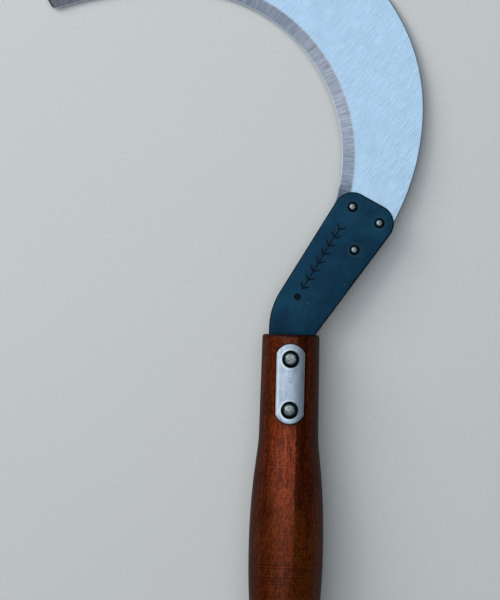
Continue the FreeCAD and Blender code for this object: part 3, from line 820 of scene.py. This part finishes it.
def wood_grain(shader, late_wood, fibres, sanding):
    """Colour of the streaks, fibres, rings, pores, patches and sanding marks."""
    streaks = shader.stretched(240, 9, 240, detail=4, roughness=0.6)
    pores = shader.stretched(2300, 95, 2300, detail=1)
    patches = shader.stretched(40, 22, 40, detail=2)
    grains = shader.stretched(1500, 420, 1500, detail=3, roughness=0.65)
    dark = (0.022, 0.004, 0.0004)
    colour = shader.ramp(
        streaks,
        (0.28, (0.038, 0.005, 0.0003)),
        (0.45, (0.07, 0.0095, 0.0006)),
        (0.58, (0.103, 0.016, 0.001)),
        (0.76, (0.15, 0.029, 0.002)),
    )
    colour = shader.mix(shader.spread(fibres, 0.35, 0.7, 0.45, 0.0), colour, dark)
    colour = shader.mix(shader.times(late_wood, 0.3), colour, dark)
    colour = shader.mix(shader.spread(pores, 0.63, 0.72, 0.0, 0.6), colour, (0.008, 0.002, 0.0004))
    colour = shader.mix(shader.spread(patches, 0.5, 0.7, 0.0, 0.4), colour, (0.14, 0.032, 0.002))
    colour = shader.tint(colour, shader.spread(grains, 0.36, 0.64, 0.55, 1.5))
    return shader.tint(colour, shader.spread(sanding, 0.4, 0.68, 1.06, 0.8))


def highlight_stripe(shader, warp, x, y, z):
    """Share of a lighter stripe, a painted highlight, with a sharp right edge, which fades towards
    both ends.
    """
    bent_x = shader.plus(x, shader.times(shader.minus(warp, 0.5), 0.004))
    right = shader.spread(bent_x, 0.0039, 0.0029)
    left = shader.spread(bent_x, -0.014, -0.002)
    stripe = shader.times(shader.times(right, left), shader.spread(z, 0.0, 0.006))
    stripe = shader.times(stripe, shader.spread(y, 0.126, 0.108, 0.3, 1.0))
    return shader.times(stripe, shader.spread(y, 0.03, 0.062, 0.35, 1.0))


def turning_marks(shader, x, y):
    """Share of dark lacquer pooled in the lathe's marks."""
    turns = shader.math("SINE", shader.times(y, 2 * math.pi / (LATHE_PITCH * MM)))
    low, high = LATHE_MARKS[0] * MM, LATHE_MARKS[1] * MM
    marked = shader.times(shader.spread(y, low, low + 0.006), shader.spread(y, high, high - 0.006))
    patchy = shader.stretched(120, 30, 120, detail=2)
    uneven = shader.noise(shader.point(0.0, shader.times(y, 420), shader.times(x, 25)), detail=2)
    pooled = shader.times(shader.spread(turns, -0.5, -0.95), marked)
    pooled = shader.times(pooled, shader.spread(uneven, 0.42, 0.6, 0.15, 1.3))
    return shader.times(pooled, shader.spread(patchy, 0.4, 0.58, 0.25, 1.0))


def beside_plates(shader, x, y):
    """Distance outside the side plates' outline, in metres."""
    middle = (PLATE_LOW.y + PLATE_HIGH.y) / 2 * MM
    straight = (PLATE_HIGH.y - PLATE_LOW.y) / 2 * MM - PLATE_END_RADIUS * MM
    up = shader.math("ABSOLUTE", shader.minus(y, middle))
    past = shader.math("MAXIMUM", shader.minus(up, straight), 0.0)
    from_end = shader.minus(shader.length(shader.point(x, past, 0.0)), PLATE_END_RADIUS * MM)
    from_side = shader.minus(shader.math("ABSOLUTE", x), PLATE_HALF_WIDTH * MM)
    return shader.math("MAXIMUM", from_end, from_side)


def wood_material():
    """Dark red-brown hardwood under clear lacquer."""
    shader = Shader("lacquered_wood")
    x, y, z = shader.axes()
    warp = shader.stretched(45, 7, 45, detail=3)
    fibres = shader.stretched(1500, 34, 1500, detail=4, roughness=0.6)
    sanding = shader.stretched(60, 1500, 60, detail=3)

    colour = wood_grain(shader, growth_rings(shader, warp, x, z), fibres, sanding)
    stripe = highlight_stripe(shader, warp, x, y, z)
    # painted highlight: the stripe lightens and whitens the wood, most strongly just below the neck
    colour = shader.tint(colour, (2.0, 1.65, 5.0), shader.times(stripe, 0.75))
    highlight_peak = shader.times(stripe, shader.spread(y, 0.062, 0.094))
    colour = shader.tint(colour, (1.9, 2.1, 3.0), highlight_peak)

    # dark lacquer in the turning marks, darker ends, and painted shade with some grime round the
    # side plates
    colour = shader.mix(turning_marks(shader, x, y), colour, (0.02, 0.005, 0.003))
    length = HANDLE_TOP * MM
    shoulder = shader.spread(y, length - 0.0016, length - 0.0007)
    ends = shader.math("MAXIMUM", shoulder, shader.spread(y, 0.0015, 0.0002))
    colour = shader.mix(shader.times(ends, 0.8), colour, (0.012, 0.003, 0.001))
    # painted shade, with some grime: a thin dark band round the side plates
    grime_and_shade = shader.spread(beside_plates(shader, x, y), 0.0009, 0.0001, 0.0, 0.9)
    colour = shader.mix(grime_and_shade, colour, (0.004, 0.002, 0.001))

    # painted shade: the wood is darker where it is seen at a slant, towards the handle's sides
    slant = shader.node("LayerWeight").outputs["Facing"]
    colour = shader.mix(shader.spread(slant, 0.4, 0.95, 0.0, 0.65), colour, (0.012, 0.002, 0.0002))
    height = shader.plus(shader.times(fibres, 0.6), shader.times(sanding, 0.5))
    shader.set(
        Base_Color=colour,
        Roughness=shader.spread(fibres, 0.3, 0.7, 0.5, 0.36),
        Specular_IOR_Level=0.03,
        Coat_Weight=shader.spread(slant, 0.35, 0.8, 0.13, 0.03),
        Coat_Roughness=0.26,
        Normal=shader.bump(height, 0.00008, 0.5),
    )
    return shader.material


add_piece("handle_turned", handle_mesh(), wood_material(), ["handle"])


# -------- side plates

PLATE_THICK = 1.3
PLATE_ROUND = 0.45
PLATE_DENT = 0.05
SEAT_RADIUS = 4.1
SEAT_DEPTH = 0.6
CUTTER_REACH = 4


def plate_outline(step=0.4):
    """Clockwise outline of a side plate seen from the front, with arched ends."""
    bottom, top = PLATE_LOW.y, PLATE_HIGH.y
    half = PLATE_HALF_WIDTH
    left_low, left_high = Vector((-half, bottom + PLATE_ARCH)), Vector((-half, top - PLATE_ARCH))
    right_low, right_high = Vector((half, bottom + PLATE_ARCH)), Vector((half, top - PLATE_ARCH))
    path = line_between(left_low, left_high, step)
    path += arc_between(left_high, right_high, PLATE_END_RADIUS, False, step)
    path += line_between(right_high, right_low, step)
    return path + arc_between(right_low, left_low, PLATE_END_RADIUS, False, step)


def plate_mesh(name, side):
    """Plate bent round the neck, dented by use, with flat seats and holes for its rivets."""
    loop = plate_outline()
    low_y = min(place.y for place in loop) + PLATE_HALF_WIDTH
    high_y = max(place.y for place in loop) - PLATE_HALF_WIDTH
    rivets = [rivet_centre(rivet) for rivet in HANDLE_RIVETS]

    def lifted(place, rise):
        """Height of the plate over the handle's axis at a place."""
        surface = neck_radius(place.y) + rise
        height = math.sqrt(surface**2 - place.x**2)
        if rise > 0:
            dent = noise.noise(Vector((place.x * 0.3, place.y * 0.22, 5.0 * side)))
            height += PLATE_DENT * dent
        return height

    rings = []
    insets = [PLATE_ROUND * (1 - math.cos(math.radians(turn))) for turn in (0, 30, 60, 90)]
    insets += [0.9 + 0.5 * row for row in range(11)] + [PLATE_HALF_WIDTH]
    for rise, order in ((0.0, reversed(insets)), (PLATE_THICK, insets)):
        for inset in order:
            ring = []
            for place in loop:
                spine = Vector((0, min(high_y, max(low_y, place.y))))
                reach = (place - spine).length
                inner = spine.lerp(place, 1 - inset / PLATE_HALF_WIDTH)
                if inset < reach and inset < PLATE_ROUND + 1e-6:
                    inner = place.lerp(spine, inset / reach)
                corner = max(0.0, PLATE_ROUND - inset)
                drop = PLATE_ROUND - math.sqrt(PLATE_ROUND**2 - corner**2) if rise else 0.0
                ring.append((inner.x, inner.y, side * (lifted(inner, rise) - drop)))
            rings.append(ring)
    plate = mesh_from_rings(name, rings, capped=False)
    cutters = []
    for rivet in rivets:
        surface = neck_radius(rivet.y)
        outside = side * (surface + CUTTER_REACH)
        hole = sorted((side * (surface - CUTTER_REACH), outside))
        seat = sorted((side * (surface + PLATE_THICK - SEAT_DEPTH), outside))
        cutters.append(prism(disc_outline(rivet, HANDLE_RIVET_RADIUS), *hole))
        cutters.append(prism(disc_outline(rivet, SEAT_RADIUS, 72), *seat))
    return carve(plate, cutters)


def plate_material():
    """Satin steel with lengthwise polish and nicks, blue from a painted sky reflection, with
    painted highlights on its left edge and seat lips and painted shade round the rivet heads.
    """
    shader = Shader("plate_steel")
    x, _, _ = shader.axes()
    brushed = shader.stretched(2600, 60, 1, detail=4, roughness=0.6)
    clouds = shader.noise(shader.place, scale=210, detail=4, roughness=0.6)
    dents = shader.noise(shader.place, scale=420, detail=1)
    crossing = shader.moved(shader.place, turn=35)
    hairs = shader.noise(shader.moved(crossing, scale=(60, 3200, 1)), detail=1)
    nicks = shader.cells(shader.place, scale=230)

    # painted reflection: the plate's blue tint stands in for a reflected cool sky
    colour = shader.ramp(
        brushed, (0.3, (0.33, 0.4, 0.475)), (0.5, (0.41, 0.49, 0.575)), (0.72, (0.5, 0.58, 0.665))
    )
    colour = shader.mix(shader.spread(clouds, 0.56, 0.74, 0.0, 0.4), colour, (0.26, 0.32, 0.38))
    colour = shader.mix(shader.spread(hairs, 0.66, 0.76, 0.0, 0.5), colour, (0.75, 0.8, 0.84))
    # painted highlight: a lighter left edge, on the side the light comes from
    colour = shader.mix(shader.spread(x, -0.0044, -0.0058, 0.0, 0.85), colour, (0.78, 0.84, 0.92))
    colour = shader.mix(shader.spread(nicks, 0.075, 0.05, 0.0, 0.8), colour, (0.08, 0.1, 0.14))
    for rivet in HANDLE_RIVETS:
        ring = shader.ring_distance(rivet_centre(rivet))
        # painted highlight: a bright crescent on the left of each seat's lip
        lip = shader.times(shader.spread(ring, 5.1, 4.6), shader.spread(x, 0.003, -0.002))
        colour = shader.mix(shader.times(lip, 0.6), colour, (0.74, 0.8, 0.87))
        # painted shade: a dark ring in the gap round each rivet head
        seat_gap_shade = shader.spread(ring, 4.25, 3.95, 0.0, 0.9)
        colour = shader.mix(seat_gap_shade, colour, (0.02, 0.025, 0.028))
    height = shader.plus(shader.times(brushed, 0.25), shader.times(dents, 0.8))
    shader.set(
        Base_Color=colour,
        Metallic=1.0,
        Roughness=shader.spread(clouds, 0.3, 0.7, 0.46, 0.58),
        Normal=shader.bump(height, 0.00012, 0.5),
    )
    return shader.material


plate_steel = plate_material()
for plate_node, plate_side in (("side_plate_front", 1), ("side_plate_rear", -1)):
    bent = plate_mesh(f"{plate_node}_bent", plate_side)
    add_piece(f"{plate_node}_bent", bent, plate_steel, [plate_node])


# -------- rivets

SMALL_TAIL_RADIUS = 2.3
SMALL_HEAD_RADIUS = 2.1
BIG_HEAD_RADIUS = 3.85
# flatness of the tail and the head; a higher number is a flatter dome
SMALL_FLATNESS = (2.0, 2.2)
BIG_FLATNESS = {"handle_rivet_upper": (3.0, 3.4), "handle_rivet_lower": (2.2, 2.2)}
DOME_STEPS = 14
RIVET_SIDES = 56
HEAD_SWELL = 0.03
HEAD_BRUISE = 0.05


def domed_rivet(name, body_radius, ends, seed):
    """Rivet along Z about its own centre; each end is (radius, seat height, rise, flatness)."""
    tail, head = ends
    profile = []
    for radius, seat, rise, flatness in (tail, head):
        dome = []
        for step in range(DOME_STEPS + 1):
            share = step / DOME_STEPS
            across = radius * math.sin(share * math.pi / 2)
            lift = rise * (1 - (across / radius) ** flatness) ** 0.8
            dome.append((across, seat + math.copysign(lift, seat), share))
        profile.append(dome)
    tail_dome, head_dome = profile
    outline = tail_dome + [(body_radius, tail[1], 1.0), (body_radius, head[1], 1.0)]
    outline += list(reversed(head_dome))
    middle = (tail[1] + head[1]) / 2
    rings = []
    for across, height, share in outline:
        ring = []
        for side in range(RIVET_SIDES):
            angle = 2 * math.pi * side / RIVET_SIDES
            way = Vector((math.cos(angle), math.sin(angle)))
            bruise = noise.noise(Vector((way.x * share * 2.2, way.y * share * 2.2, seed)))
            swell = 1 + HEAD_SWELL * bruise * share if across > body_radius else 1.0
            sink = HEAD_BRUISE * bruise * math.copysign(1 - share, height - middle)
            ring.append((way.x * across * swell, way.y * across * swell, height + sink))
        rings.append(ring)
    return mesh_from_rings(name, rings, capped=False)


def rivet_material(name, dome_radius, ring_count):
    """Dull peened steel: a crown in the steel's own colour inside a skirt painted dark as shade."""
    shader = Shader(name)
    ring = shader.ring_distance((0, 0))
    dents = shader.noise(shader.place, scale=900, detail=3, roughness=0.6)
    clouds = shader.noise(shader.place, scale=380, detail=2)
    turned = shader.math("SINE", shader.times(ring, 2 * math.pi * ring_count / dome_radius))
    colour = shader.ramp(
        dents, (0.34, (0.1, 0.125, 0.13)), (0.5, (0.25, 0.29, 0.31)), (0.66, (0.46, 0.51, 0.54))
    )
    colour = shader.mix(shader.spread(turned, 0.2, 0.9, 0.0, 0.35), colour, (0.08, 0.095, 0.1))
    # painted shade: the dome's steep skirt is painted dark
    skirt = shader.spread(ring, dome_radius * 0.5, dome_radius * 0.76)
    colour = shader.mix(skirt, colour, (0.006, 0.014, 0.015))
    shader.set(
        Base_Color=colour,
        Metallic=0.95,
        Roughness=shader.spread(clouds, 0.3, 0.7, 0.34, 0.55),
        Normal=shader.bump(dents, 0.00012, 0.6),
    )
    return shader.material


def add_rivet(node, body_radius, radii, seats, flatness, material, seed):
    """A rivet in place of its CAD node; radii and seats are those of the tail and the head."""
    centre = rivet_centre(node)
    low, high = RIVET_BOXES[node]
    tail = (radii[0], seats[0], seats[0] - low.z, flatness[0])
    head = (radii[1], seats[1], high.z - seats[1], flatness[1])
    mesh = domed_rivet(f"{node}_peened", body_radius, (tail, head), seed)
    place = (centre.x * MM, centre.y * MM, 0)
    add_piece(f"{node}_peened", mesh, material, [node], place)


small_steel = rivet_material("small_rivet_steel", SMALL_HEAD_RADIUS, 2)
for number, rivet in enumerate(BLADE_RIVETS):
    radii = (SMALL_TAIL_RADIUS, SMALL_HEAD_RADIUS)
    seats = (BLADE_LOW.z, SHANK_HIGH.z - RIVET_RECESS_DEPTH)
    seed = 3.3 + number
    add_rivet(rivet, BLADE_RIVET_RADIUS, radii, seats, SMALL_FLATNESS, small_steel, seed)

big_steel = rivet_material("big_rivet_steel", BIG_HEAD_RADIUS, 4)
for number, rivet in enumerate(HANDLE_RIVETS):
    radii = (BIG_HEAD_RADIUS, BIG_HEAD_RADIUS)
    seat = neck_radius(rivet_centre(rivet).y) + PLATE_THICK - SEAT_DEPTH
    seats = (-seat, seat)
    seed = 9.1 + number
    add_rivet(rivet, HANDLE_RIVET_RADIUS, radii, seats, BIG_FLATNESS[rivet], big_steel, seed)


# -------- floor, light and camera

# in millimetres, but for the roll in degrees and the floor's reach in metres
LENS = 200.0
SENSOR = 36.0
VIEW_HEIGHT = 276.0
VIEW_CENTRE = Vector((-19.23, 170.87))
VIEW_ROLL = 1.387
FLOOR_GAP = 0.04
FLOOR_REACH = 3.0
WORLD_COLOUR = (0.72, 0.86, 1.0, 1.0)
WORLD_STRENGTH = 0.09


def floor_pitch():
    """Height and slope of a floor that touches the rear rivet and the top of the blade's back."""
    rear = RIVET_BOXES["handle_rivet_upper"][0].z
    foot_y = rivet_centre("handle_rivet_upper").y
    slope = (BLADE_LOW.z - rear) / (BLADE_HIGH.y - foot_y)
    return (BLADE_LOW.z - slope * BLADE_HIGH.y - FLOOR_GAP) * MM, math.atan(slope)


def floor_material():
    """Pale matt board with a faint grain."""
    shader = Shader("pale_floor")
    grain = shader.noise(shader.place, scale=700, detail=3)
    cloud = shader.noise(shader.place, scale=9, detail=2)
    colour = shader.ramp(grain, (0.3, (0.8, 0.8, 0.79)), (0.7, (0.85, 0.85, 0.84)))
    colour = shader.mix(shader.spread(cloud, 0.3, 0.7, 0.0, 0.2), colour, (0.78, 0.785, 0.78))
    shader.set(Base_Color=colour, Roughness=0.85, Normal=shader.bump(grain, 0.0001, 0.3))
    return shader.material


def make_floor():
    """A wide flat floor, tilted to touch the sickle where it would rest."""
    height, pitch = floor_pitch()
    mesh = bpy.data.meshes.new("floor")
    far = FLOOR_REACH
    corners = [(-far, -far, 0), (far, -far, 0), (far, far, 0), (-far, far, 0)]
    mesh.from_pydata(corners, [], [(0, 1, 2, 3)])
    mesh.materials.append(floor_material())
    floor = bpy.data.objects.new("floor", mesh)
    bpy.context.scene.collection.objects.link(floor)
    floor.matrix_world = Matrix.Translation((0, 0, height)) @ Matrix.Rotation(pitch, 4, "X")


def make_lamp(name, place, target, size, power, colour):
    """A rectangular soft light at a place, facing a target."""
    lamp = bpy.data.lights.new(name, "AREA")
    lamp.shape = "RECTANGLE"
    lamp.size, lamp.size_y = size
    lamp.energy = power
    lamp.color = colour
    holder = bpy.data.objects.new(name, lamp)
    bpy.context.scene.collection.objects.link(holder)
    holder.location = place
    facing = Vector(target) - Vector(place)
    holder.rotation_euler = facing.to_track_quat("-Z", "Y").to_euler()
    holder.visible_camera = False


def make_world():
    """Dim cool light from all round."""
    world = bpy.data.worlds.new("studio")
    world.use_nodes = True
    background = world.node_tree.nodes["Background"]
    background.inputs["Color"].default_value = WORLD_COLOUR
    background.inputs["Strength"].default_value = WORLD_STRENGTH
    bpy.context.scene.world = world


def make_camera():
    """A long lens that looks straight down, with a small roll."""
    camera = bpy.data.cameras.new("camera")
    camera.lens = LENS
    camera.sensor_width = SENSOR
    camera.clip_end = 20
    holder = bpy.data.objects.new("camera", camera)
    bpy.context.scene.collection.objects.link(holder)
    distance = VIEW_HEIGHT * LENS / SENSOR
    holder.location = (VIEW_CENTRE.x * MM, VIEW_CENTRE.y * MM, distance * MM)
    holder.rotation_euler = (0, 0, math.radians(VIEW_ROLL))
    bpy.context.scene.camera = holder


make_floor()
make_world()
make_lamp("sky_panel", (-0.3, 0.5, 1.4), (-0.12, 0.25, 0), (1.6, 1.8), 13.5, (0.9, 0.96, 1.0))
make_lamp("key_panel", (-1.15, 0.95, 1.1), (0, 0.2, 0), (1.0, 1.2), 11, (1.0, 0.99, 0.97))
make_camera()
bpy.context.scene.view_settings.view_transform = "Standard"
